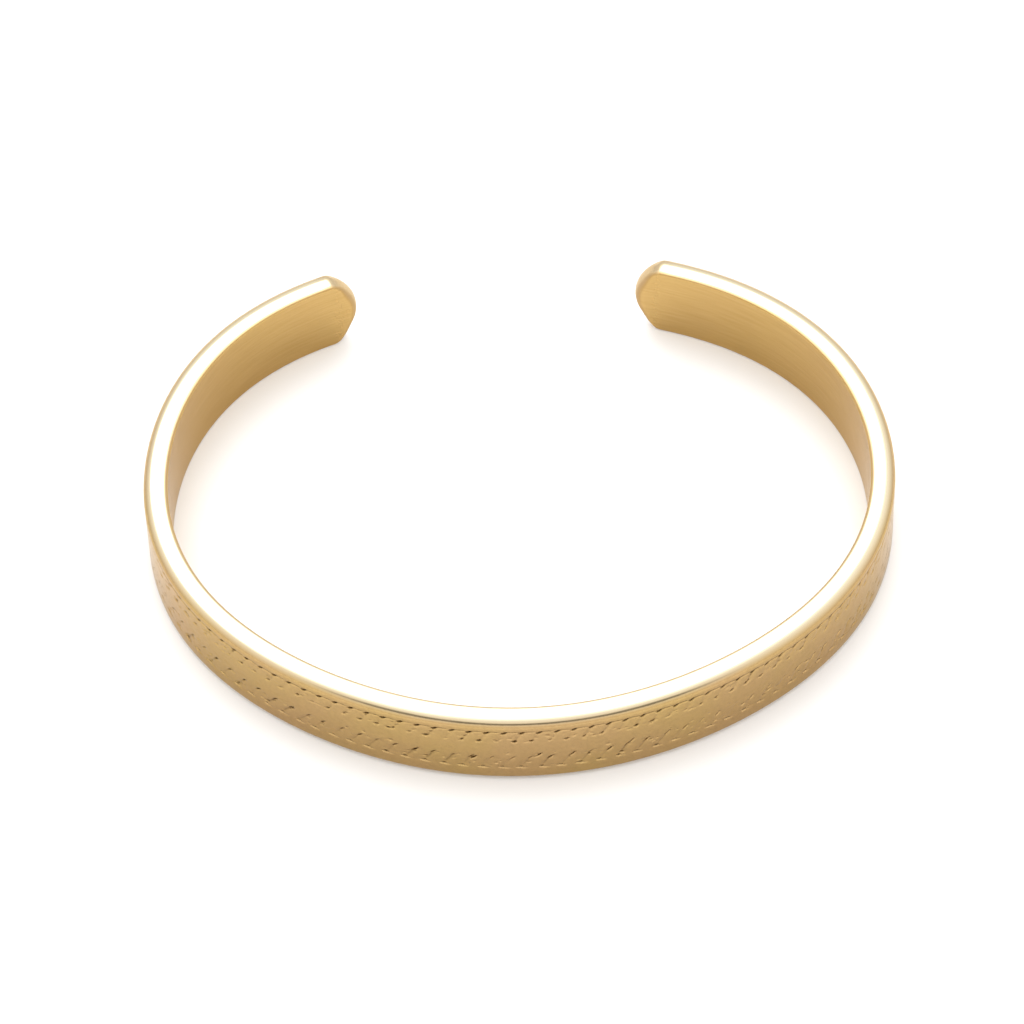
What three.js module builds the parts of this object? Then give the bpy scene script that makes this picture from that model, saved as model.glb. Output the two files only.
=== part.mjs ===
// An open cuff bangle: a flat metal band bent into an oval, with round tips and a gap at the back.
// The outer face carries a chased field between plain rims: two twisted-rope rows and a smooth stripe.
//
// Frame: millimetres, +Z up, the band lies on z = 0, the gap is on the +Y side, +X along the oval's width.
// Surface coordinates: s runs along the outer face from the middle of the front, z is the height above the
// lower edge, and n is the offset from the band's centre line, positive outwards.
import * as THREE from 'three';

// ---- driving dimensions -----------------------------------------------------------------------------
const HALF_WIDTH = 32;            // outer half width of the oval, before the bend terms
const HALF_DEPTH = 26;            // outer half depth of the oval, before the bend terms
const BAND_HEIGHT = 7.6;
const BAND_THICKNESS = 2.1;
const TIP_X = { left: -14.0, right: 10.55 };   // where the two tips end, on the centre line
const TIP_RADIUS = 4.25;          // the tip's round end, seen square on
const TIP_CORNER = 1.2;           // the softened corner where the round end meets a long edge
const INNER_EASE = 0.3;           // the round between the inner wall and the edge
// The round between the edge and the outer face: its reach across the edge and down the face.
const OUTER_ROUND = { across: 1.1, down: 0.6 };

// How the hand-bent line departs from a true ellipse: waves of its radius, as [times round, size].
const BEND = {
  sine: [[2, -0.001], [3, 0.0133], [4, 0.001], [5, -0.006]],
  cosine: [[3, 0.004], [4, -0.0061], [6, -0.001]],
};

// ---- the chased field -------------------------------------------------------------------------------
const RIM_WIDTH = { lower: 1.6, upper: 0.9 };   // plain rims, from the band's edge to a groove's lip
const GROOVE_LIP = 0.1;           // the groove's sloping side
const GROOVE_DEPTH = 0.14;
const PAD_LENGTH = 6.5;           // plain metal between the field and each tip
const PIT_DEPTH = 0.22;           // the small punched pits between the rope's strands
const VALLEY_DEPTH = 0.16;        // the line between a rope row and the centre stripe
const STRIPE_DEPTH = 0.03;        // the crest of the centre stripe, just under the rims
// Rope rows: pitch along s, centre height, half height, how far a strand leans over its height, and
// where a parting line between two strands crosses the centre height.
const UPPER_ROPE = { pitch: 1.447, z: 5.96, half: 0.56, lean: 0.61, start: -0.245 };
const LOWER_ROPE = { pitch: 1.62, z: 2.5, half: 0.7, lean: 0.98, start: 0.43 };
// A strand's profile across one pitch: the parting line, the steep side, the crest and the falling side.
const STRAND_AT = [0, 0.22, 0.5, 0.8];
const STRAND_DEPTH = [0.13, 0.02, 0, 0.05];

// ---- how finely it is cut up ------------------------------------------------------------------------
const EDGE_STEP = 1.6;            // along the long edges
const TIP_STEPS = 8;              // round a tip
const CORNER_STEPS = 3;           // round a tip's corner
const LINE_STEPS = 3000;          // the bent line's own table

const GOLD = { color: 0xd9b070, roughness: 0.28, metalness: 1.0 };

// ---- the bent line ----------------------------------------------------------------------------------
// A point of the centre line at angle f (front at -90 degrees).
function centreLine(f) {
  let k = 1;
  for (const [times, size] of BEND.sine) k += size * Math.sin(times * f);
  for (const [times, size] of BEND.cosine) k += size * Math.cos(times * f);
  return [
    (HALF_WIDTH - BAND_THICKNESS / 2) * Math.cos(f) * k,
    (HALF_DEPTH - BAND_THICKNESS / 2) * Math.sin(f) * k,
  ];
}

// The point n millimetres outside the centre line at angle f.
function offsetLine(f, n) {
  const step = 1e-4;
  const [x, y] = centreLine(f);
  const [x1, y1] = centreLine(f + step);
  const [x0, y0] = centreLine(f - step);
  const length = Math.hypot(x1 - x0, y1 - y0);
  return [x + n * (y1 - y0) / length, y - n * (x1 - x0) / length];
}

// A table of arc length along the outer face against angle, zero at the front.
function measureLine() {
  const from = -Math.PI * 1.5;
  const to = Math.PI / 2;
  const angles = [];
  const lengths = [];
  let length = 0;
  let last = null;
  for (let i = 0; i <= LINE_STEPS; i++) {
    const f = from + (to - from) * i / LINE_STEPS;
    const point = offsetLine(f, BAND_THICKNESS / 2);
    if (last) length += Math.hypot(point[0] - last[0], point[1] - last[1]);
    angles.push(f);
    lengths.push(length);
    last = point;
  }
  const front = lengths[LINE_STEPS / 2];
  return { angles, lengths: lengths.map((value) => value - front) };
}

// Linear look-up in a pair of rising lists.
function lookUp(value, xs, ys) {
  let low = 0;
  let high = xs.length - 1;
  while (high - low > 1) {
    const middle = (low + high) >> 1;
    if (xs[middle] <= value) low = middle;
    else high = middle;
  }
  return ys[low] + (ys[high] - ys[low]) * (value - xs[low]) / (xs[high] - xs[low]);
}

const line = measureLine();

// Where the centre line reaches the given x behind the middle, as an arc length.
function lengthAtTip(x) {
  const behind = line.angles.map((f, i) => [centreLine(f), line.lengths[i]])
    .filter(([point]) => point[1] > 0 && Math.sign(point[0]) === Math.sign(x));
  behind.sort((a, b) => Math.abs(a[0][0] - x) - Math.abs(b[0][0] - x));
  return behind[0][1];
}

const TIP_S = { left: lengthAtTip(TIP_X.left), right: lengthAtTip(TIP_X.right) };
const FIELD_S = { left: TIP_S.left + PAD_LENGTH, right: TIP_S.right - PAD_LENGTH };
const FIELD_Z = {
  low: RIM_WIDTH.lower + GROOVE_LIP,
  high: BAND_HEIGHT - RIM_WIDTH.upper - GROOVE_LIP,
};

// Places a surface point in space.
function place([s, z, n]) {
  const [x, y] = offsetLine(lookUp(s, line.lengths, line.angles), n);
  return [x, y, z];
}

// ---- a mesh made of strips between rows of points ---------------------------------------------------
const vertices = [];
const triangles = [];

// Adds a row of surface points and gives back their numbers.
function addRow(points) {
  return points.map((point) => vertices.push(place(point)) - 1);
}

function distance(a, b) {
  return Math.hypot(...vertices[a].map((value, i) => value - vertices[b][i]));
}

// How far along a row each of its points lies, from 0 to 1.
function fractions(row) {
  const lengths = [0];
  for (let i = 1; i < row.length; i++) lengths.push(lengths[i - 1] + distance(row[i - 1], row[i]));
  return lengths.map((length) => length / lengths.at(-1));
}

// Fills between two rows that run the same way. Where the rows share their first or last point, the
// triangle there has no area and is left out.
function zip(a, b) {
  const alongA = fractions(a);
  const alongB = fractions(b);
  let i = 0;
  let j = 0;
  while (i < a.length - 1 || j < b.length - 1) {
    const takeA = j === b.length - 1 || (i < a.length - 1 && alongA[i + 1] <= alongB[j + 1]);
    const triangle = takeA ? [a[i], a[i + 1], b[j]] : [a[i], b[j + 1], b[j]];
    if (new Set(triangle).size === 3) triangles.push(triangle);
    if (takeA) i++;
    else j++;
  }
}

// The stretch of a closed loop from one of its places to another, going forwards.
function stretch(loop, from, to) {
  return to > from ? loop.slice(from, to + 1) : [...loop.slice(from), ...loop.slice(0, to + 1)];
}

// Fills between two closed loops, side by side: corners are places in the second loop, and the first is
// cut at its points nearest to them.
function zipLoops(a, b, corners = [0]) {
  const matches = corners.map((corner) => {
    const gaps = a.map((point) => distance(point, b[corner]));
    return gaps.indexOf(Math.min(...gaps));
  });
  corners.forEach((corner, i) => {
    const next = (i + 1) % corners.length;
    zip(stretch(a, matches[i], matches[next]), stretch(b, corner, corners[next]));
  });
}

// ---- the band's outline, loop by loop ---------------------------------------------------------------
// The outline of the right tip from the lower edge to the upper one: distances from the tip's end and
// from mid height, each with the outward direction there.
function tipOutline() {
  const rise = BAND_HEIGHT / 2 - TIP_CORNER;
  const reach = Math.sqrt((TIP_RADIUS - TIP_CORNER) ** 2 - rise ** 2);
  const meet = Math.atan2(rise, reach);
  const points = [];
  const arc = (cs, cz, radius, from, to, steps, skipFirst) => {
    for (let i = skipFirst ? 1 : 0; i <= steps; i++) {
      const angle = from + (to - from) * i / steps;
      const ds = Math.cos(angle);
      const dz = Math.sin(angle);
      points.push({ s: cs + radius * ds, z: cz + radius * dz, ds, dz });
    }
  };
  arc(reach - TIP_RADIUS, -rise, TIP_CORNER, -Math.PI / 2, -meet, CORNER_STEPS, false);
  arc(-TIP_RADIUS, 0, TIP_RADIUS, -meet, meet, TIP_STEPS, true);
  arc(reach - TIP_RADIUS, rise, TIP_CORNER, meet, Math.PI / 2, CORNER_STEPS, true);
  return points;
}

// The whole outline, once round: lower edge, right tip, upper edge, left tip.
function bandOutline() {
  const tip = tipOutline();
  const half = BAND_HEIGHT / 2;
  const right = tip.map(({ s, z, ds, dz }) => ({ s: TIP_S.right + s, z: half + z, ds, dz }));
  const left = tip.map(({ s, z, ds, dz }) => ({ s: TIP_S.left - s, z: half - z, ds: -ds, dz: -dz }));
  const from = left.at(-1).s;
  const to = right[0].s;
  const steps = Math.round((to - from) / EDGE_STEP);
  const along = [];
  for (let i = 1; i < steps; i++) along.push(from + (to - from) * i / steps);
  const lower = along.map((s) => ({ s, z: 0, ds: 0, dz: -1 }));
  const upper = along.toReversed().map((s) => ({ s, z: BAND_HEIGHT, ds: 0, dz: 1 }));
  return { points: [...lower, ...right, ...upper, ...left], steps };
}

// The loop that lies a distance inside the outline, at one offset from the centre line.
function insetLoop(outline, inset, n) {
  return addRow(outline.points.map(({ s, z, ds, dz }) => [s - inset * ds, z - inset * dz, n]));
}

// The inner wall: rungs from the lower half of its loop to the upper half.
function fillInnerWall(loop) {
  const count = loop.length;
  const left = count - (TIP_STEPS / 2 + CORNER_STEPS);   // the left tip's very end
  const half = count / 2;
  const lower = [];
  const upper = [];
  for (let i = 0; i <= half; i++) {
    lower.push(loop[(left - 1 + i + count) % count]);
    upper.push(loop[(left - 1 - i + count) % count]);
  }
  zip(upper, lower);
}

// ---- the chased field -------------------------------------------------------------------------------
const FACE = BAND_THICKNESS / 2;

// Places along the field for a repeat of the given pitch, with the two field ends added.
function alongField(pitch, start, parts) {
  const places = [];
  const margin = 0.25 * pitch;
  const first = Math.ceil((FIELD_S.left - start) / pitch) - 1;
  const last = Math.floor((FIELD_S.right - start) / pitch) + 1;
  for (let i = first; i <= last; i++) {
    for (const [part, at] of parts.entries()) {
      const s = start + (i + at) * pitch;
      if (s > FIELD_S.left + margin && s < FIELD_S.right - margin) places.push({ s, part });
    }
  }
  return places;
}

// One row of the field at height z, from the left end to the right, with a depth for each place.
function fieldRow(z, places, depths, endDepth) {
  return [
    [FIELD_S.left, z, FACE - endDepth],
    ...places.map(({ s, part }) => [s, z, FACE - depths[part]]),
    [FIELD_S.right, z, FACE - endDepth],
  ];
}

// The three rows along a rope's strands, upper row first. The strands lean, and sink towards their ends.
function ropeRows(rope) {
  return [0.62, 0, -0.62].map((across) => {
    const start = rope.start + across * rope.lean / 2;
    const sink = 0.06 * Math.abs(across) / 0.62;
    const depths = STRAND_DEPTH.map((depth) => depth + sink);
    const places = alongField(rope.pitch, start, STRAND_AT);
    return fieldRow(rope.z + across * rope.half, places, depths, GROOVE_DEPTH);
  });
}

// The row just outside a rope, with a pit at each parting line: side is 1 above the rope and -1 below.
function pitRow(rope, side, z, depth) {
  const start = rope.start + side * rope.lean / 2;
  const places = alongField(rope.pitch, start, [0, 0.5]);
  return fieldRow(z, places, [PIT_DEPTH, depth], depth);
}

// A plain row of the centre stripe.
function stripeRow(z, depth, pitch) {
  return fieldRow(z, alongField(pitch, 0, [0]), [depth], depth);
}

// All the rows of the field, from the lower edge up.
function fieldRows() {
  const stripeLow = LOWER_ROPE.z + LOWER_ROPE.half;
  const stripeHigh = UPPER_ROPE.z - UPPER_ROPE.half;
  const quarter = (stripeHigh - stripeLow) / 4;
  return [
    pitRow(LOWER_ROPE, -1, FIELD_Z.low, GROOVE_DEPTH),
    ...ropeRows(LOWER_ROPE).toReversed(),
    pitRow(LOWER_ROPE, 1, stripeLow, VALLEY_DEPTH),
    stripeRow(stripeLow + quarter, STRIPE_DEPTH + 0.02, LOWER_ROPE.pitch),
    stripeRow(stripeHigh - quarter, STRIPE_DEPTH + 0.02, UPPER_ROPE.pitch),
    pitRow(UPPER_ROPE, -1, stripeHigh, VALLEY_DEPTH),
    ...ropeRows(UPPER_ROPE).toReversed(),
    pitRow(UPPER_ROPE, 1, FIELD_Z.high, GROOVE_DEPTH),
  ];
}

// The loop round the field, once round like the outline: a row of surface points.
function fieldLoop(rows) {
  const ends = rows.slice(1, -1);
  return [
    ...rows[0],
    ...ends.map((row) => row.at(-1)),
    ...rows.at(-1).toReversed(),
    ...ends.toReversed().map((row) => row[0]),
  ];
}

// The groove's outer lip: the field's loop moved outwards by the lip, at the level of the rims.
function lipLoop(loop) {
  return loop.map(([s, z]) => {
    let [outS, outZ] = [s, z];
    if (s === FIELD_S.left) outS -= GROOVE_LIP;
    if (s === FIELD_S.right) outS += GROOVE_LIP;
    if (z === FIELD_Z.low) outZ -= GROOVE_LIP;
    if (z === FIELD_Z.high) outZ += GROOVE_LIP;
    return [outS, outZ, FACE];
  });
}

// ---- the cuff ---------------------------------------------------------------------------------------
function buildSurface() {
  const outline = bandOutline();
  const loops = [0, 45, 90].map((degrees) => {
    const angle = degrees * Math.PI / 180;
    return insetLoop(outline, INNER_EASE * (1 - Math.sin(angle)), INNER_EASE * (1 - Math.cos(angle)) - FACE);
  });
  for (const degrees of [0, 30, 60, 90]) {
    const angle = degrees * Math.PI / 180;
    const inset = OUTER_ROUND.down * (1 - Math.cos(angle));
    loops.push(insetLoop(outline, inset, FACE - OUTER_ROUND.across * (1 - Math.sin(angle))));
  }
  for (let i = 1; i < loops.length; i++) zipLoops(loops[i - 1], loops[i]);
  fillInnerWall(loops[0]);

  const rows = fieldRows();
  const numbered = rows.map(addRow);
  for (let i = 1; i < rows.length; i++) zip(numbered[i - 1], numbered[i]);
  const lip = addRow(lipLoop(fieldLoop(rows)));
  zipLoops(lip, fieldLoop(numbered));
  const lowerRight = rows[0].length - 1;
  const upperRight = lowerRight + rows.length - 1;
  const upperLeft = upperRight + rows.at(-1).length - 1;
  zipLoops(loops.at(-1), lip, [0, lowerRight, upperRight, upperLeft]);
}

// Turns the strips into one indexed geometry, centred on its footprint.
function cuffGeometry() {
  buildSurface();
  const geometry = new THREE.BufferGeometry();
  geometry.setAttribute('position', new THREE.Float32BufferAttribute(vertices.flat(), 3));
  geometry.setIndex(triangles.flat());
  geometry.computeBoundingBox();
  const centre = geometry.boundingBox.getCenter(new THREE.Vector3());
  geometry.translate(-centre.x, -centre.y, 0);
  geometry.computeVertexNormals();
  return geometry;
}

const cuff = new THREE.Mesh(cuffGeometry(), new THREE.MeshStandardMaterial(GOLD));
cuff.name = 'cuff';

const bangle = new THREE.Group();
bangle.add(cuff);

export default bangle;
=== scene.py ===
# The looks of an open gold cuff bangle: its chased surface, its gold, the floor, the light and the camera.
# The shape code works in millimetres in the band's own coordinates: s runs along the outer face from the
# middle of the front, z is the height above the lower edge, n is the offset from the band's centre line.
import functools
import math

import bpy
import numpy as np
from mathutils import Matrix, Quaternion, Vector


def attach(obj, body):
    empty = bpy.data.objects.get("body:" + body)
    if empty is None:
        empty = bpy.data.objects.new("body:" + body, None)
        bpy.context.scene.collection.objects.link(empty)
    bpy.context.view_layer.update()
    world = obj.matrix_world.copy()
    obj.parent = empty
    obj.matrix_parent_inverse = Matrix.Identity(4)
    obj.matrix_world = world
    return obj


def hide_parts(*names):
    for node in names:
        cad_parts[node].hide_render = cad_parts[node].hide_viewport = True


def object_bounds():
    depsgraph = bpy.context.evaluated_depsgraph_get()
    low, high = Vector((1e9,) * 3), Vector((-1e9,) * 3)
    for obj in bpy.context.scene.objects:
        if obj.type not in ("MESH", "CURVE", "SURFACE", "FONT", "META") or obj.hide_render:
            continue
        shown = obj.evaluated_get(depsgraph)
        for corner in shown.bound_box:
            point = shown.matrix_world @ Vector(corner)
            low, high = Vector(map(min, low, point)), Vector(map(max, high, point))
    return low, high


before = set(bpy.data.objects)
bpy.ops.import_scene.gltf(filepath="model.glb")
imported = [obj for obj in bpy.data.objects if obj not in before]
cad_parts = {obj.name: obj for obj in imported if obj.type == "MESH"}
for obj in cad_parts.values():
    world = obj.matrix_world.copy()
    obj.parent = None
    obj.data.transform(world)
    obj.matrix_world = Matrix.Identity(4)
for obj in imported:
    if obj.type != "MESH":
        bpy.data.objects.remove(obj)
cad_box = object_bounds()

MM = 0.001
SEED = 7

# ---- the band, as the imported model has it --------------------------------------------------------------
HALF_WIDTH = 32.0            # of the plain oval that the band's outer face follows
HALF_DEPTH = 26.0
BAND_THICKNESS = 2.1
BAND_HEIGHT = (cad_box[1][2] - cad_box[0][2]) / MM
TIP_X = {"left": -14.0, "right": 10.55}
TIP_RADIUS = 4.25
TIP_CORNER = 1.2
ROUND_ACROSS, ROUND_DOWN = 1.1, 0.6
# How the hand-bent line strays from the oval: each wave's number of turns and its share of the oval's size.
SINE_WAVES = ((2, -0.001), (3, 0.0133), (4, 0.001), (5, -0.006))
COSINE_WAVES = ((3, 0.004), (4, -0.0061), (6, -0.001))
LINE_STEPS = 6000            # round the line, to measure lengths along it
FACE = BAND_THICKNESS / 2
HALF_HEIGHT = BAND_HEIGHT / 2

# ---- the visual mesh -----------------------------------------------------------------------------------
SNUG = 0.985                 # keeps the fine faces a hair inside the solid's
INNER_EASE = {"front": 0.42, "back": 0.16}   # worn softer at the front
EASE_CHANGES = (35, 60)      # where the front's ease turns into the back's, along s to either side
TIP_EASE = 0.9               # the inner ease where it runs round a tip, and the outer round there
TIP_ACROSS, TIP_DOWN = 1.12, 0.9
TIP_TURN = (0.5, 0.9)        # how far the outline has turned towards s where they set in and are whole
WALL_MARGIN = 0.3            # width of the flat strip between the ease and the inner wall's rungs
EDGE_STATIONS = 300          # along each long edge
TIP_STEPS = 24               # round a tip
CORNER_STEPS = 10            # round a tip's corner
INNER_ROUND_STEPS = 6
OUTER_ROUND_STEPS = 10
FIELD_COLUMNS = 1300
FIELD_ROWS = {"lower": 33, "stripe": 8, "upper": 26}
FIELD_INSET = 1.2            # how far the fine field stays inside the outline at the tips
FRONT_CROWDING = 0.12        # how much closer the columns stand at the front, where the chasing is read

# ---- the chased field ----------------------------------------------------------------------------------
FIELD = (1.42, 6.84)         # its lowest and highest point
FIELD_DIP = 0.012            # how far its ground lies below the rims
DIP_HEIGHTS = (0.3, 0.25)    # the height over which the ground falls from the lower rim, and from the upper
STRIPE = (3.7, 5.0)          # the smooth stripe between the rows
DEEPEST = 0.3
PAD_LENGTH = 6.5             # plain pad at each tip
PAD_FADE = 0.4
MARK_WINDOW = 2.4            # no mark reaches farther along s from its place
WOBBLE = 0.05                # how far a strand may stand from its even place
# What changes along s: the stretch where it changes and by how much. The groove gets deeper on the right and
# the lower creases wear shallower; all the chasing is rubbed faint on the sides and clearer again behind.
GROOVE_DEEPENS, GROOVE_GAIN = (4, 12), 0.12
LOWER_WEARS, LOWER_LOSS = (8, 16), 0.5
SIDES_FADE, SIDES_LOSS = (33, 39), 0.75
BACK_CLEARS, BACK_GAIN = (48, 56), 0.35

# The rows of strands: pitch, where the row starts, the heights of a crease's lower and upper end, its lean
# (how far it shifts along s for each millimetre of height), how it bows, how soon it fades at its lower end,
# its depth and half width, and the number and heights of a strand's stray dents.
# Here and below, a pair under lean, depth, place, height or reach is a range that each mark falls in.
UPPER_ROW = {"pitch": 1.447, "start": -0.6, "low": 5.3, "high": 6.42, "lean": 0.58, "bow": 1.2, "fade": 0.3,
             "deep": (0.03, 0.078), "half": 0.45, "strays": 2, "stray_z": (5.1, 6.2)}
LOWER_ROW = {"pitch": 1.62, "start": -0.05, "low": 1.76, "high": 3.1, "lean": (0.561, 0.759), "bow": 1.35,
             "fade": 0.45, "deep": (0.048, 0.096), "half": 0.6, "strays": 3, "stray_z": (1.9, 3.7)}
CREASE_SIDES = (0.7, 1.3)    # a crease is steeper on its left than on its right
CREASE_START = -0.1          # where it starts below its lower end, as a share of its height
CREASE_TOP = (0.9, 1.2)      # where it dies away at its upper end

# The marks struck in each strand: place along s from the strand's, depth, height, reach to the left and the
# right, up and down, and lean.
UPPER_PIT = {"along": (0.63, 0.69), "deep": (0.272, 0.357), "z": 6.46, "left": 0.32, "right": 0.24,
             "up": 0.14, "down": 0.27, "lean": 1.0}
UPPER_GROOVE = {"along": 0.1, "deep": 0.15, "z": 6.56, "left": 0.3, "right": (1.1, 1.5),
                "up": 0.08, "down": 0.1, "lean": 0.0}
STRIPE_PIT = {"along": 0.0, "deep": (0.06, 0.24), "z": (5.29, 5.39), "left": (0.2, 0.5), "right": 0.18,
              "up": 0.14, "down": 0.2, "lean": 0.5}
LOWER_PIT = {"along": 0.0, "deep": (0.135, 0.297), "z": 1.78, "left": (0.3, 0.7), "right": 0.18,
             "up": 0.11, "down": 0.13, "lean": 0.0}
LOWER_TAIL = {"along": 0.25, "deep": 0.065, "z": 1.72, "left": 0.4, "right": (0.35, 0.65),
              "up": 0.06, "down": 0.17, "lean": 0.0}
LOWER_STROKE = {"along": 0.0, "deep": (0.0375, 0.25), "z": (3.02, 3.18), "left": 0.13, "right": 0.13,
                "up": 0.24, "down": 0.4, "lean": 0.9}
RIPPLE = {"along": (0.0, 1.6), "deep": 0.022, "z": (3.9, 4.2), "left": 0.5, "right": 0.4,
          "up": 0.1, "down": 0.28, "lean": -0.8}
STRAY = {"wide": (0.12, 0.34), "tall": (0.09, 0.2), "lean": (-1.2, 1.2), "deep": (0.03, 0.1)}

# The marks that were struck hardest at the front, upright in the upper row and leaning in the lower: their
# shape, then each one's place along s, height, and depth against the usual.
HARD_UPPER = {"left": 0.4, "right": 0.17, "up": 0.15, "down": 0.2, "lean": 0.2, "deep": 0.32}
HARD_UPPER_PLACES = ((-11.1, 5.3, 1.0), (-7.95, 5.32, 1.0), (-3.5, 5.34, 0.9), (-0.55, 5.3, 1.0),
                     (9.6, 5.34, 0.9))
HARD_LOWER = {"left": 0.16, "right": 0.16, "up": 0.3, "down": 0.34, "lean": 0.9, "deep": 0.32}
HARD_LOWER_PLACES = ((-8.95, 3.0, 1.1), (-4.0, 2.98, 1.1), (1.4, 3.38, 0.9), (4.2, 3.16, 0.9),
                     (7.3, 2.98, 0.8), (9.05, 3.3, 0.8))


def rise(value, low, high):
    """0 up to low, 1 from high on, and a smooth climb between them."""
    share = np.clip((value - low) / (high - low), 0, 1)
    return share * share * (3 - 2 * share)


# ---- the bent line -------------------------------------------------------------------------------------
def centre_line(f):
    """The centre line at angle f: an oval with the slight unevenness of a hand-bent strip."""
    k = 1 + sum(size * np.sin(times * f) for times, size in SINE_WAVES)
    k = k + sum(size * np.cos(times * f) for times, size in COSINE_WAVES)
    return (HALF_WIDTH - FACE) * np.cos(f) * k, (HALF_DEPTH - FACE) * np.sin(f) * k


def offset_line(f, n):
    """The point n outside the centre line at angle f."""
    step = 1e-4
    x, y = centre_line(f)
    x1, y1 = centre_line(f + step)
    x0, y0 = centre_line(f - step)
    length = np.hypot(x1 - x0, y1 - y0)
    return x + n * (y1 - y0) / length, y - n * (x1 - x0) / length


# Once round from the middle of the back, so that the middle of the front is halfway and has the length 0.
ANGLES = np.linspace(-1.5 * np.pi, 0.5 * np.pi, LINE_STEPS + 1)
LINE_X, LINE_Y = offset_line(ANGLES, FACE)
LENGTHS = np.concatenate([[0], np.cumsum(np.hypot(np.diff(LINE_X), np.diff(LINE_Y)))])
LENGTHS -= LENGTHS[len(LENGTHS) // 2]


def length_at_tip(x):
    """The arc length where the centre line reaches x behind the middle."""
    px, py = centre_line(ANGLES)
    behind = (py > 0) & (np.sign(px) == np.sign(x))
    return LENGTHS[behind][np.argmin(np.abs(px[behind] - x))]


TIP_S = {side: length_at_tip(x) for side, x in TIP_X.items()}
# The footprint's middle is the origin, so the left and front extremes of the line lie on its box.
CENTRE = (LINE_X.min() - cad_box[0][0] / MM, LINE_Y.min() - cad_box[0][1] / MM)


def place(s, z, n):
    """Surface coordinates to space, in millimetres, centred on the footprint."""
    x, y = offset_line(np.interp(s, LENGTHS, ANGLES), n * SNUG)
    return np.stack([x - CENTRE[0], y - CENTRE[1], z + 0 * x], axis=-1)


# ---- a mesh made of rows of points ---------------------------------------------------------------------
class Shell:
    """Collects rows of surface points and the faces between them."""

    def __init__(self):
        self.rows = []
        self.faces = []
        self.count = 0

    def row(self, s, z, n, recess=0.0):
        """Adds a row of points and gives back their numbers."""
        s, z, n, recess = np.broadcast_arrays(np.asarray(s, float), z, n, recess)
        self.rows.append(np.stack([s, z, n, recess], axis=-1))
        first = self.count
        self.count += len(s)
        return np.arange(first, self.count)

    def ladder(self, a, b):
        """Four-sided faces between two rows of the same length."""
        self.faces += np.stack([a[:-1], a[1:], b[1:], b[:-1]], axis=-1).tolist()

    def ring(self, a, b):
        """The same between two closed loops."""
        self.ladder(np.append(a, a[0]), np.append(b, b[0]))

    def shares(self, row):
        """How far along the row each of its points lies, from 0 to 1."""
        points = np.concatenate(self.rows)[row]
        steps = np.linalg.norm(np.diff(place(points[:, 0], points[:, 1], points[:, 2]), axis=0), axis=1)
        lengths = np.concatenate([[0], np.cumsum(steps)])
        return lengths / lengths[-1]

    def stitch(self, a, b):
        """Three-sided faces between two rows of different lengths."""
        along_a, along_b = self.shares(a), self.shares(b)
        i = j = 0
        while i < len(a) - 1 or j < len(b) - 1:
            if j == len(b) - 1 or (i < len(a) - 1 and along_a[i + 1] <= along_b[j + 1]):
                self.faces.append([int(a[i]), int(a[i + 1]), int(b[j])])
                i += 1
            else:
                self.faces.append([int(a[i]), int(b[j + 1]), int(b[j])])
                j += 1

    def mesh(self, name):
        """The finished mesh, in metres, with its surface coordinates as attributes."""
        data = np.concatenate(self.rows)
        points = place(data[:, 0], data[:, 1], data[:, 2]) * MM
        # A ladder's rung that closes on a single point leaves a three-sided face.
        faces = [list(dict.fromkeys(face)) for face in self.faces]
        mesh = bpy.data.meshes.new(name)
        mesh.from_pydata(points.tolist(), [], faces)
        across = data[:, 2] + DEEPEST * data[:, 3]
        attributes = {"along": data[:, 0], "height": data[:, 1], "across": across, "recess": data[:, 3]}
        for label, values in attributes.items():
            attribute = mesh.attributes.new(label, "FLOAT", "POINT")
            attribute.data.foreach_set("value", np.ascontiguousarray(values, dtype=np.float32))
        mesh.polygons.foreach_set("use_smooth", [True] * len(mesh.polygons))
        mesh.update()
        return mesh


# ---- the outline and its loops -------------------------------------------------------------------------
def tip_outline():
    """The right tip from the lower edge up: s from the tip's end, z from mid height, outward direction."""
    corner_z = HALF_HEIGHT - TIP_CORNER
    reach = math.sqrt((TIP_RADIUS - TIP_CORNER) ** 2 - corner_z**2)
    meet = math.atan2(corner_z, reach)
    arcs = (
        (reach - TIP_RADIUS, -corner_z, TIP_CORNER, -math.pi / 2, -meet, CORNER_STEPS),
        (-TIP_RADIUS, 0.0, TIP_RADIUS, -meet, meet, TIP_STEPS),
        (reach - TIP_RADIUS, corner_z, TIP_CORNER, meet, math.pi / 2, CORNER_STEPS),
    )
    points = []
    for cs, cz, radius, start, end, steps in arcs:
        for i in range(1 if points else 0, steps + 1):
            angle = start + (end - start) * i / steps
            ds, dz = math.cos(angle), math.sin(angle)
            points.append((cs + radius * ds, cz + radius * dz, ds, dz))
    return np.array(points)


def band_outline():
    """Once round, as s, z and the outward direction: lower edge, right tip, upper edge, left tip."""
    tip = tip_outline()
    right = tip + [TIP_S["right"], HALF_HEIGHT, 0, 0]
    left = -tip + [TIP_S["left"], HALF_HEIGHT, 0, 0]
    along = np.linspace(left[-1, 0], right[0, 0], EDGE_STATIONS + 1)[1:-1]
    blank = np.zeros_like(along)
    lower = np.stack([along, blank, blank, blank - 1], axis=-1)
    upper = np.stack([along[::-1], blank + BAND_HEIGHT, blank, blank + 1], axis=-1)
    return np.concatenate([lower, right, upper, left])


OUTLINE = band_outline()


def inset_loop(shell, inset, n):
    """The loop inside the outline by inset, which may differ from point to point, at offset n."""
    s, z, ds, dz = OUTLINE.T
    return shell.row(s - inset * ds, z - inset * dz, n)


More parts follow.
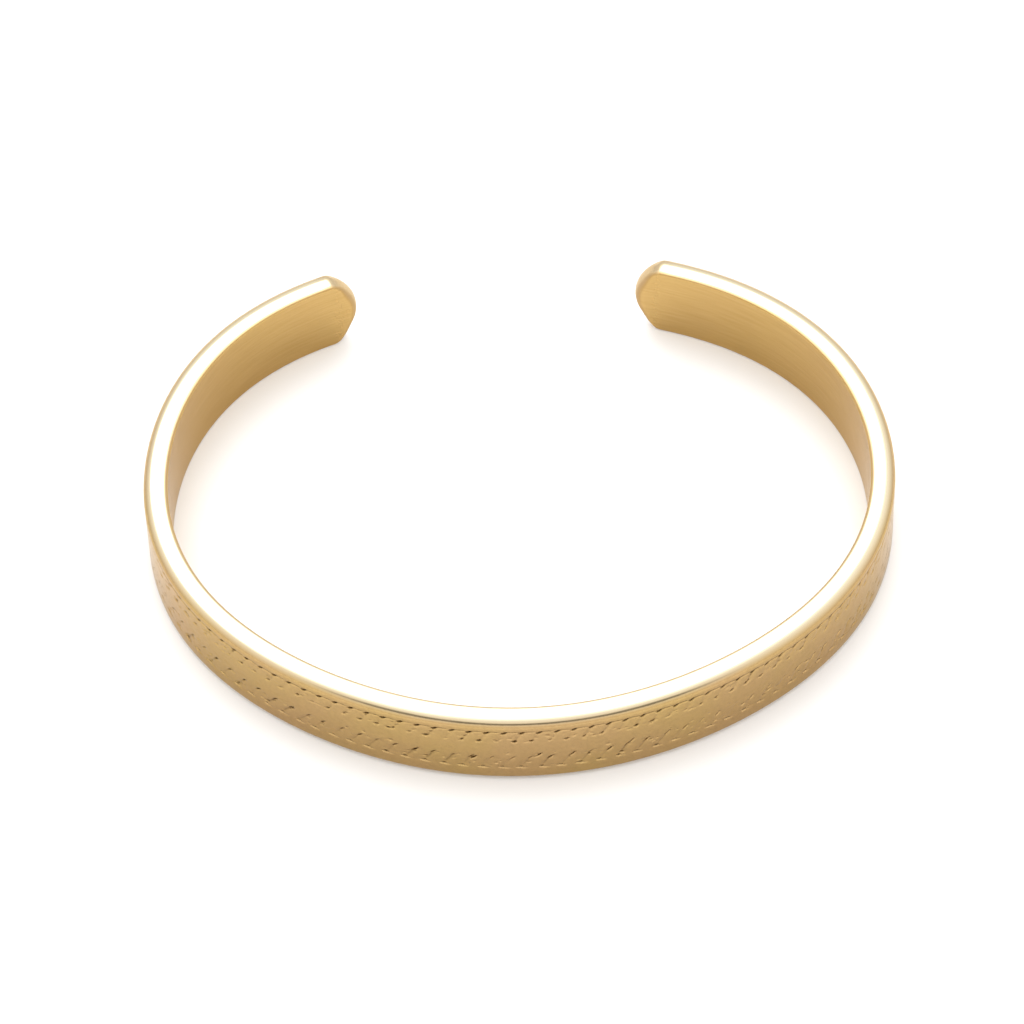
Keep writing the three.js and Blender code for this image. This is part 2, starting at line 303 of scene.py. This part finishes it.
def edge_loops(shell):
    """The inner wall's eased edge, the flat edge and the outer round: loops from the inner wall outwards."""
    at_tip = rise(np.abs(OUTLINE[:, 2]), *TIP_TURN)
    at_back = rise(np.abs(OUTLINE[:, 0]), *EASE_CHANGES)
    ease = INNER_EASE["front"] + (INNER_EASE["back"] - INNER_EASE["front"]) * at_back
    ease += (TIP_EASE - ease) * at_tip
    across = ROUND_ACROSS + (TIP_ACROSS - ROUND_ACROSS) * at_tip
    down = ROUND_DOWN + (TIP_DOWN - ROUND_DOWN) * at_tip
    loops = [inset_loop(shell, ease + WALL_MARGIN, -FACE)]
    for i in range(INNER_ROUND_STEPS + 1):
        angle = math.pi / 2 * i / INNER_ROUND_STEPS
        loops.append(inset_loop(shell, ease * (1 - math.sin(angle)), -FACE + ease * (1 - math.cos(angle))))
    for i in range(OUTER_ROUND_STEPS + 1):
        angle = math.pi / 2 * i / OUTER_ROUND_STEPS
        loops.append(inset_loop(shell, down * (1 - math.cos(angle)), FACE - across * (1 - math.sin(angle))))
    for a, b in zip(loops, loops[1:]):
        shell.ring(a, b)
    return loops


def fill_inner_wall(shell, loop):
    """Rungs across the inner wall, from the lower half of its loop to the upper half."""
    left_tip = len(loop) - 1 - (TIP_STEPS // 2 + CORNER_STEPS)
    steps = np.arange(len(loop) // 2 + 1)
    lower = loop[(left_tip + steps) % len(loop)]
    upper = loop[(left_tip - steps) % len(loop)]
    shell.ladder(upper, lower)


# ---- relief --------------------------------------------------------------------------------------------
def pit(s, z, mark):
    """A struck mark's depth: it reaches its own way left, right, up and down, and may lean."""
    v = z - mark["z"]
    u = s - mark["s"] - mark["lean"] * v
    r = (u / np.where(u < 0, mark["left"], mark["right"])) ** 2
    r = r + (v / np.where(v < 0, mark["down"], mark["up"])) ** 2
    return mark["deep"] * (1 - np.clip(r, 0, 1)) ** 1.5


def crease(s, z, mark):
    """The shallow valley between two strands: it bows, and dies away towards both its ends."""
    tall = mark["high"] - mark["low"]
    # From 0 at the lower end to 1 at the upper, and a little past both.
    t = np.clip((z - mark["low"]) / tall, -0.5, 1.5)
    line = mark["s"] + mark["lean"] * tall * np.sign(t) * np.abs(t) ** mark["bow"]
    u = (s - line) / np.where(s < line, *CREASE_SIDES) / mark["half"]
    ends = rise(t, CREASE_START, CREASE_START + mark["fade"]) * (1 - rise(t, *CREASE_TOP))
    return mark["deep"] * (1 - np.clip(np.abs(u), 0, 1)) ** 2 * ends


def strand_places(row):
    """The even places of a row's strands along s, all clear of the pads."""
    first = math.ceil((TIP_S["left"] + PAD_LENGTH - row["start"]) / row["pitch"])
    last = math.floor((TIP_S["right"] - PAD_LENGTH - row["start"]) / row["pitch"])
    return [row["start"] + i * row["pitch"] for i in range(first, last)]


def drawn(rng, value):
    """A number as it stands, or one from anywhere in a range."""
    return rng.uniform(*value) if isinstance(value, tuple) else value


def struck(rng, shape, s):
    """One mark of a shape, with its place counted from s."""
    mark = {key: drawn(rng, value) for key, value in shape.items()}
    return mark | {"s": s + mark["along"]}


def stray_mark(rng, row, s):
    """A small shallow dent anywhere in one strand of a row."""
    wide, tall = rng.uniform(*STRAY["wide"]), rng.uniform(*STRAY["tall"])
    return {"s": s + rng.uniform(0, row["pitch"]), "z": rng.uniform(*row["stray_z"]),
            "left": wide, "right": wide, "up": tall, "down": tall,
            "lean": rng.uniform(*STRAY["lean"]), "deep": rng.uniform(*STRAY["deep"])}


def upper_marks(rng):
    """The upper row: a pit and a fading groove under the rim, an uneven pit at the stripe, and a crease."""
    pits, creases = [], []
    for even in strand_places(UPPER_ROW):
        s = even + WOBBLE * rng.uniform(-1, 1)
        top = struck(rng, UPPER_PIT, even)
        groove = struck(rng, UPPER_GROOVE, top["s"])
        groove["deep"] += GROOVE_GAIN * rise(s, *GROOVE_DEEPENS)
        pits += [top, groove, struck(rng, STRIPE_PIT, s)]
        pits += [stray_mark(rng, UPPER_ROW, s) for _ in range(UPPER_ROW["strays"])]
        creases.append(UPPER_ROW | {"s": s, "deep": drawn(rng, UPPER_ROW["deep"])})
    return pits, creases


def lower_marks(rng):
    """The lower row: a pit with a tail above the rim, a leaning stroke and a ripple above, and a crease."""
    pits, creases = [], []
    for even in strand_places(LOWER_ROW):
        s = even + WOBBLE * rng.uniform(-1, 1)
        lean = drawn(rng, LOWER_ROW["lean"])
        upper_end = s + lean * (LOWER_ROW["high"] - LOWER_ROW["low"])
        pits += [struck(rng, LOWER_PIT, s), struck(rng, LOWER_TAIL, s), struck(rng, LOWER_STROKE, upper_end),
                 struck(rng, RIPPLE, s)]
        pits += [stray_mark(rng, LOWER_ROW, s) for _ in range(LOWER_ROW["strays"])]
        worn = 1 - LOWER_LOSS * rise(s, *LOWER_WEARS)
        creases.append(LOWER_ROW | {"s": s, "lean": lean, "deep": worn * drawn(rng, LOWER_ROW["deep"])})
    return pits, creases


def hard_marks():
    """The hardest blows of both rows."""
    rows = ((HARD_UPPER, HARD_UPPER_PLACES), (HARD_LOWER, HARD_LOWER_PLACES))
    return [shape | {"s": s, "z": z, "deep": shape["deep"] * force} for shape, places in rows
            for s, z, force in places]


def relief(s, z):
    """Height of the outer face over the whole field, never above the rims."""
    rng = np.random.default_rng(SEED)
    upper_pits, upper_creases = upper_marks(rng)
    lower_pits, lower_creases = lower_marks(rng)
    pits = np.zeros_like(s)
    creases = np.zeros_like(s)
    shapes = [(pits, pit, mark) for mark in upper_pits + lower_pits + hard_marks()]
    shapes += [(creases, crease, mark) for mark in upper_creases + lower_creases]
    for depth, shape, mark in shapes:
        window = np.flatnonzero(np.abs(s[0] - mark["s"]) < MARK_WINDOW)
        part = slice(window[0], window[-1] + 1)
        depth[:, part] = np.maximum(depth[:, part], shape(s[:, part], z[:, part], mark))
    ground = FIELD_DIP * rise(z, FIELD[0], FIELD[0] + DIP_HEIGHTS[0])
    ground = ground * (1 - rise(z, FIELD[1] - DIP_HEIGHTS[1], FIELD[1]))
    height = -np.minimum(pits + creases + ground, DEEPEST)
    away = np.abs(s)
    clear = 1 - SIDES_LOSS * rise(away, *SIDES_FADE) + BACK_GAIN * rise(away, *BACK_CLEARS)
    from_end = np.minimum(TIP_S["right"] - s, s - TIP_S["left"])
    return height * clear * rise(from_end, PAD_LENGTH - PAD_FADE, PAD_LENGTH)


def field_rows():
    """Heights of the field's rows: fine over the rope rows, wider over the smooth stripe."""
    lower = np.linspace(FIELD[0], STRIPE[0], FIELD_ROWS["lower"])
    stripe = np.linspace(*STRIPE, FIELD_ROWS["stripe"])[1:-1]
    upper = np.linspace(STRIPE[1], FIELD[1], FIELD_ROWS["upper"])
    return np.concatenate([lower, stripe, upper])


def column_places():
    """Shares along the field, closer together round the front."""
    t = np.linspace(-1, 1, FIELD_COLUMNS + 1)
    return 0.5 + 0.5 * (t - FRONT_CROWDING * np.sin(math.pi * t))


def field_end(z, side):
    """Where the field's row at height z ends: the tip's outline, moved inwards."""
    tip = tip_outline()
    inset_s, inset_z = (tip[:, :2] - FIELD_INSET * tip[:, 2:]).T
    reach = np.interp(z - HALF_HEIGHT, inset_z, inset_s)
    return TIP_S["right"] + reach if side == "right" else TIP_S["left"] - reach


def cut_at(s, upper):
    """The outline point on a long edge that lies nearest to s."""
    places = np.flatnonzero(OUTLINE[:, 3] == (1 if upper else -1))
    return int(places[np.argmin(np.abs(OUTLINE[places, 0] - s))])


def fill_outer_face(shell, loop):
    """The fine field, and the plain strip between it and the outer round."""
    heights = field_rows()
    t = column_places()
    left, right = field_end(heights, "left"), field_end(heights, "right")
    s = left[:, None] + (right - left)[:, None] * t
    z = np.repeat(heights[:, None], len(t), axis=1)
    depth = relief(s, z)
    rows = [shell.row(s[i], z[i], FACE + depth[i], -depth[i] / DEEPEST) for i in range(len(heights))]
    for a, b in zip(rows, rows[1:]):
        shell.ladder(a, b)
    right_end = np.array([row[-1] for row in rows])
    left_end = np.array([row[0] for row in rows])[::-1]
    sides = [rows[0], right_end, rows[-1][::-1], left_end]
    corners = ((left[0], False), (right[0], False), (right[-1], True), (left[-1], True))
    cuts = [cut_at(corner_s, upper) for corner_s, upper in corners]
    for side, start, end in zip(sides, cuts, cuts[1:] + cuts[:1]):
        piece = loop[start : end + 1] if end > start else np.concatenate([loop[start:], loop[: end + 1]])
        shell.stitch(piece, side)


def make_cuff():
    """The whole bangle as one mesh, in the solid's place."""
    shell = Shell()
    loops = edge_loops(shell)
    fill_inner_wall(shell, loops[0])
    fill_outer_face(shell, loops[-1])
    cuff = bpy.data.objects.new("chased_cuff", shell.mesh("chased_cuff"))
    bpy.context.scene.collection.objects.link(cuff)
    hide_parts("cuff")
    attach(cuff, "root")
    return cuff


# ---- materials -----------------------------------------------------------------------------------------
TONES = {
    "yellow": (0.437, 0.293, 0.115),
    "rose": (0.437, 0.284, 0.127),
    # set lighter than the outer face's tones, a painted brightening that makes up for the light the inner
    # wall gets
    "inner": (0.488, 0.313, 0.105),
    "streak": (0.550, 0.361, 0.135),
    # a paler gold painted on the eased edges, fullest on the upper edge, as a painted highlight
    "edge": (0.635, 0.545, 0.382),
    # near-black: painted shade with some dirt in the pits, and a little of it as random mottle on the outer
    # face
    "pit": (0.048, 0.022, 0.004),
}
GRAZING_TINT = (0.95, 0.88, 0.78, 1)
PAPER = {"colour": (0.96, 0.96, 0.96, 1), "roughness": 0.8}
# Each noise's scale, detail and roughness.
NOISES = {
    "blotches": (130.0, 3.0, 0.5),
    "grain": (900.0, 4.0, 0.5),
    "mottle": (3000.0, 3.0, 0.5),
    "brushing": (2.0, 5.0, 0.6),
}
# The brushing's noise is read this densely: for each millimetre along s and for each metre upwards.
STREAKS = {"along": 0.09, "up": 2200.0}
# Where a finish, or the painted highlight on the edges, comes in or goes out: across the band from its
# middle, up it, and along it from a tip.
INNER_WALL_OUT = (-1.04, -0.9)
OUTER_FACE_IN = (0.75, 1.0)
INNER_EASE_IN = (-1.05, -1.0)
INNER_EASE_OUT = (-0.8, -0.55)
EDGE_HIGHLIGHT_IN = (-1.0, -0.6)
EDGE_HIGHLIGHT_OUT = (0.45, 0.98)
EDGE_HIGHLIGHT_UP = (2.0, 5.0)
TIP_FINISH = (1.5, 3.5)
# Where a noise, or the depth of a recess, turns from one tone or roughness into another.
BLOTCHES_TURN = (0.38, 0.62)
STREAKS_TURN = (0.35, 0.65)
MOTTLE_TURN = (0.4, 0.7)
# the recess depth over which the pits are painted dark, as painted shade with some dirt
DIRT_AND_SHADE_TURN = (0.2, 0.5)
ROUGHNESS_TURN = (0.3, 0.7)
# The largest share of a tone over the one below it, and the share of the edges' painted highlight left at the
# tips and low on the band.
WALL_SHARE = 0.8
MOTTLE_SHARE = 0.1
# how near the deepest pits come to the near-black tone of the painted shade
DIRT_AND_SHADE_SHARE = 0.97
EDGE_HIGHLIGHT_AT_TIPS = 0.3
EDGE_HIGHLIGHT_LOW = 0.3
# The roughness of the polish, and what the satin, the worn inner edge and the tips add to it.
POLISH = (0.12, 0.17)
SATIN = (0.03, 0.08)
EASE_ROUGHER = 0.3
TIPS_ROUGHER = 0.1
# The height of the fine relief in the finish, in millimetres, and its strength: everywhere, and what the
# inner wall's brushing or the outer face's grain adds.
BRUSHING_RELIEF = {"height": 0.04, "all": 0.1, "inner": 0.4}
GRAIN_RELIEF = {"height": 0.05, "all": 0.04, "outer": 0.8}
MIX_COLOURS, MIX_RESULT = (6, 7), 2           # a mix node's colour sockets


class Nodes:
    """Short ways to add and join nodes of one tree."""

    def __init__(self, tree):
        self.tree = tree
        tree.nodes.clear()

    def add(self, kind, **values):
        node = self.tree.nodes.new(kind)
        for key, value in values.items():
            setattr(node, key, value)
        return node

    def join(self, source, target):
        self.tree.links.new(source, target)

    def math(self, operation, *values):
        node = self.add("ShaderNodeMath", operation=operation)
        for socket, value in zip(node.inputs, values):
            if isinstance(value, (int, float)):
                socket.default_value = value
            else:
                self.join(value, socket)
        return node.outputs[0]

    def product(self, *factors):
        return functools.reduce(lambda a, b: self.math("MULTIPLY", a, b), factors)

    def attribute(self, name):
        return self.add("ShaderNodeAttribute", attribute_name=name).outputs["Fac"]

    def noise(self, vector, name):
        node = self.add("ShaderNodeTexNoise")
        for label, number in zip(("Scale", "Detail", "Roughness"), NOISES[name]):
            node.inputs[label].default_value = number
        self.join(vector, node.inputs["Vector"])
        return node.outputs["Fac"]

    def between(self, value, span, low=0.0, high=1.0, curve="LINEAR"):
        """low before the span, high after it, and a steady or smooth change inside it."""
        node = self.add("ShaderNodeMapRange", interpolation_type=curve)
        for label, number in zip(("From Min", "From Max", "To Min", "To Max"), (*span, low, high)):
            node.inputs[label].default_value = number
        self.join(value, node.inputs["Value"])
        return node.outputs[0]

    def fall(self, value, span, curve="LINEAR"):
        return self.between(value, span, 1.0, 0.0, curve)

    def mix(self, amount, a, b):
        node = self.add("ShaderNodeMix", data_type="RGBA")
        self.join(amount, node.inputs["Factor"])
        for number, value in zip(MIX_COLOURS, (a, b)):
            if isinstance(value, tuple):
                node.inputs[number].default_value = (*value, 1.0)
            else:
                self.join(value, node.inputs[number])
        return node.outputs[MIX_RESULT]

    def bump(self, height, strength, millimetres, normal=None):
        node = self.add("ShaderNodeBump")
        node.inputs["Distance"].default_value = millimetres * MM
        self.join(strength, node.inputs["Strength"])
        self.join(height, node.inputs["Height"])
        if normal is not None:
            self.join(normal, node.inputs["Normal"])
        return node.outputs[0]


def new_material(name):
    """A material with its nodes and its one shader."""
    material = bpy.data.materials.new(name)
    material.use_nodes = True
    n = Nodes(material.node_tree)
    shader = n.add("ShaderNodeBsdfPrincipled")
    output = n.add("ShaderNodeOutputMaterial")
    n.join(shader.outputs[0], output.inputs["Surface"])
    return material, n, shader


def gold_material():
    """Polished gold: eased edges paled most on the upper edge as a painted highlight, a brushed inner wall, a
    satin outer face, and pits painted towards near-black as painted shade with some dirt.
    """
    material, n, shader = new_material("polished_gold")
    shader.inputs["Metallic"].default_value = 1.0
    shader.inputs["Specular Tint"].default_value = GRAZING_TINT

    coordinates = n.add("ShaderNodeTexCoord").outputs["Object"]
    along, height = n.attribute("along"), n.attribute("height")
    across, recess = n.attribute("across"), n.attribute("recess")
    upright = n.add("ShaderNodeSeparateXYZ")
    n.join(coordinates, upright.inputs[0])
    streaks = n.add("ShaderNodeCombineXYZ")
    n.join(n.math("MULTIPLY", along, STREAKS["along"]), streaks.inputs[0])
    n.join(n.math("MULTIPLY", upright.outputs[2], STREAKS["up"]), streaks.inputs[1])
    brushed = n.noise(streaks.outputs[0], "brushing")
    blotches = n.noise(coordinates, "blotches")
    grain = n.noise(coordinates, "grain")

    inner = n.fall(across, INNER_WALL_OUT)
    outer = n.between(across, OUTER_FACE_IN)
    inner_ease = n.product(n.between(across, INNER_EASE_IN), n.fall(across, INNER_EASE_OUT))
    near, clear = TIP_FINISH
    from_tips = n.product(n.between(along, (TIP_S["left"] + near, TIP_S["left"] + clear)),
                          n.fall(along, (TIP_S["right"] - clear, TIP_S["right"] - near)))
    # Painted highlight: the eased edges paled, fully on the upper edge, less on the lower edge and at the
    # tips.
    painted_highlight = n.product(n.math("MULTIPLY_ADD", from_tips, 1 - EDGE_HIGHLIGHT_AT_TIPS, EDGE_HIGHLIGHT_AT_TIPS),
                     n.between(across, EDGE_HIGHLIGHT_IN), n.fall(across, EDGE_HIGHLIGHT_OUT),
                     n.between(height, EDGE_HIGHLIGHT_UP, EDGE_HIGHLIGHT_LOW))
    mottle = n.product(outer, n.between(n.noise(coordinates, "mottle"), MOTTLE_TURN, 0.0, MOTTLE_SHARE))

    tone = n.mix(n.between(blotches, BLOTCHES_TURN), TONES["yellow"], TONES["rose"])
    # The inner wall's own tone, lighter than the outer face's as painted light, streaked by the brushing.
    wall = n.mix(n.between(brushed, STREAKS_TURN), TONES["inner"], TONES["streak"])
    tone = n.mix(n.math("MULTIPLY", inner, WALL_SHARE), tone, wall)
    tone = n.mix(painted_highlight, tone, TONES["edge"])
    tone = n.mix(mottle, tone, TONES["pit"])
    # Painted shade with some dirt: the deeper a recess, the nearer its colour goes to near-black.
    dirt_and_shade = n.between(recess, DIRT_AND_SHADE_TURN, 0.0, DIRT_AND_SHADE_SHARE)
    n.join(n.mix(dirt_and_shade, tone, TONES["pit"]), shader.inputs["Base Color"])

    polish = n.between(brushed, ROUGHNESS_TURN, *POLISH)
    satin = n.math("MULTIPLY", n.math("ADD", outer, inner), n.between(grain, ROUGHNESS_TURN, *SATIN))
    soft = n.math("MULTIPLY_ADD", inner_ease, EASE_ROUGHER, satin)
    soft = n.math("MULTIPLY_ADD", from_tips, -TIPS_ROUGHER, n.math("ADD", soft, TIPS_ROUGHER))
    n.join(n.math("ADD", polish, soft), shader.inputs["Roughness"])

    strength = n.math("MULTIPLY_ADD", inner, BRUSHING_RELIEF["inner"], BRUSHING_RELIEF["all"])
    normal = n.bump(brushed, strength, BRUSHING_RELIEF["height"])
    strength = n.math("MULTIPLY_ADD", outer, GRAIN_RELIEF["outer"], GRAIN_RELIEF["all"])
    n.join(n.bump(grain, strength, GRAIN_RELIEF["height"], normal), shader.inputs["Normal"])
    return material


def paper_material():
    """Matt white paper."""
    material, _, shader = new_material("white_paper")
    shader.inputs["Base Color"].default_value = PAPER["colour"]
    shader.inputs["Roughness"].default_value = PAPER["roughness"]
    shader.inputs["Specular IOR Level"].default_value = 0.0
    return material


# ---- the studio ----------------------------------------------------------------------------------------
FLOOR_REACH = 3.0            # metres from the bangle to each side
FLOOR_GAP = 0.02             # how far the floor lies under the bangle
# The tent's panels, each edge as the stretch over which it fades. The softbox's left and right edges and the
# tent's turn to its back are shares of the way's length. The softbox's low and high edges are angles from the
# back horizon over the top, the shade's side is an angle from the front, and the others are elevations.
SOFTBOX = {"left": (-0.52, -0.34), "right": (0.07, 0.4), "low": (34, 46), "high": (58, 92), "radiance": 3.2}
CAMERA_SHADE = {"side": (45, 70), "low": (46, 54), "high": (64, 72), "share": 0.26}
TENT = {"overhead": 1.5, "back": 1.15, "low": (8, 48), "turn": (-0.7, 0.7)}
# The view of the middle of the band's line: angles in degrees, the distance and the lens in millimetres, and
# the camera's shift as shares of the frame.
VIEW = {"azimuth": 0.77, "elevation": 52.0, "roll": -1.84, "distance": 469.5}
SENSOR, LENS = 36.0, 194.28
SHIFT_X, SHIFT_Y = -0.00627, -0.011953
NEAR, FAR = 0.01, 10.0       # what the camera sees, in metres


def make_floor():
    """A sheet of white paper, larger than the view."""
    mesh = bpy.data.meshes.new("floor")
    corners = [(x * FLOOR_REACH, y * FLOOR_REACH, 0) for x, y in ((-1, -1), (1, -1), (1, 1), (-1, 1))]
    mesh.from_pydata(corners, [], [(0, 1, 2, 3)])
    floor = bpy.data.objects.new("floor", mesh)
    floor.location.z = -FLOOR_GAP * MM
    floor.data.materials.append(paper_material())
    bpy.context.scene.collection.objects.link(floor)


def make_world():
    """A white tent with a softbox high at the back, a dim low back and a shade high in front."""
    world = bpy.data.worlds.new("tent")
    world.use_nodes = True
    n = Nodes(world.node_tree)
    background = n.add("ShaderNodeBackground")
    output = n.add("ShaderNodeOutputWorld")
    n.join(background.outputs[0], output.inputs["Surface"])
    background.inputs["Color"].default_value = (1, 1, 1, 1)
    parts = n.add("ShaderNodeSeparateXYZ")
    n.join(n.add("ShaderNodeTexCoord").outputs["Generated"], parts.inputs[0])
    x, y, z = parts.outputs
    elevation = n.math("DEGREES", n.math("ARCSINE", z))
    pitch = n.math("DEGREES", n.math("ARCTAN2", z, y))
    from_front = n.math("ABSOLUTE", n.math("DEGREES", n.math("ARCTAN2", x, n.math("MULTIPLY", y, -1.0))))

    def starts(value, span):
        return n.between(value, span, curve="SMOOTHSTEP")

    def ends(value, span):
        return n.fall(value, span, curve="SMOOTHSTEP")

    softbox = n.product(starts(x, SOFTBOX["left"]), ends(x, SOFTBOX["right"]),
                        starts(pitch, SOFTBOX["low"]), ends(pitch, SOFTBOX["high"]))
    shade = n.product(ends(from_front, CAMERA_SHADE["side"]), starts(elevation, CAMERA_SHADE["low"]),
                      ends(elevation, CAMERA_SHADE["high"]))
    low_back = n.math("MULTIPLY", ends(elevation, TENT["low"]), starts(y, TENT["turn"]))
    tent = n.math("MULTIPLY_ADD", low_back, TENT["back"] - TENT["overhead"], TENT["overhead"])
    tent = n.math("MULTIPLY", tent, n.math("MULTIPLY_ADD", shade, CAMERA_SHADE["share"] - 1, 1.0))
    n.join(n.math("MULTIPLY_ADD", softbox, SOFTBOX["radiance"], tent), background.inputs["Strength"])
    bpy.context.scene.world = world


def direction(azimuth, elevation):
    """The way from the bangle towards something at an azimuth (0 is in front, 180 behind) and elevation."""
    a, e = math.radians(azimuth), math.radians(elevation)
    return Vector((math.sin(a) * math.cos(e), -math.cos(a) * math.cos(e), math.sin(e)))


def make_camera():
    """The camera, which looks down at the front of the bangle."""
    data = bpy.data.cameras.new("camera")
    data.sensor_width, data.lens = SENSOR, LENS
    data.shift_x, data.shift_y = SHIFT_X, SHIFT_Y
    data.clip_start, data.clip_end = NEAR, FAR
    camera = bpy.data.objects.new("camera", data)
    way = direction(VIEW["azimuth"], VIEW["elevation"])
    target = Vector((-CENTRE[0], -CENTRE[1], HALF_HEIGHT)) * MM
    camera.location = target + way * VIEW["distance"] * MM
    roll = Quaternion((0, 0, 1), math.radians(VIEW["roll"]))
    camera.rotation_euler = (way.to_track_quat("Z", "Y") @ roll).to_euler()
    bpy.context.scene.collection.objects.link(camera)
    bpy.context.scene.camera = camera


make_camera()
cuff = make_cuff()
cuff.data.materials.append(gold_material())
make_floor()
make_world()
bpy.context.scene.view_settings.view_transform = "Standard"
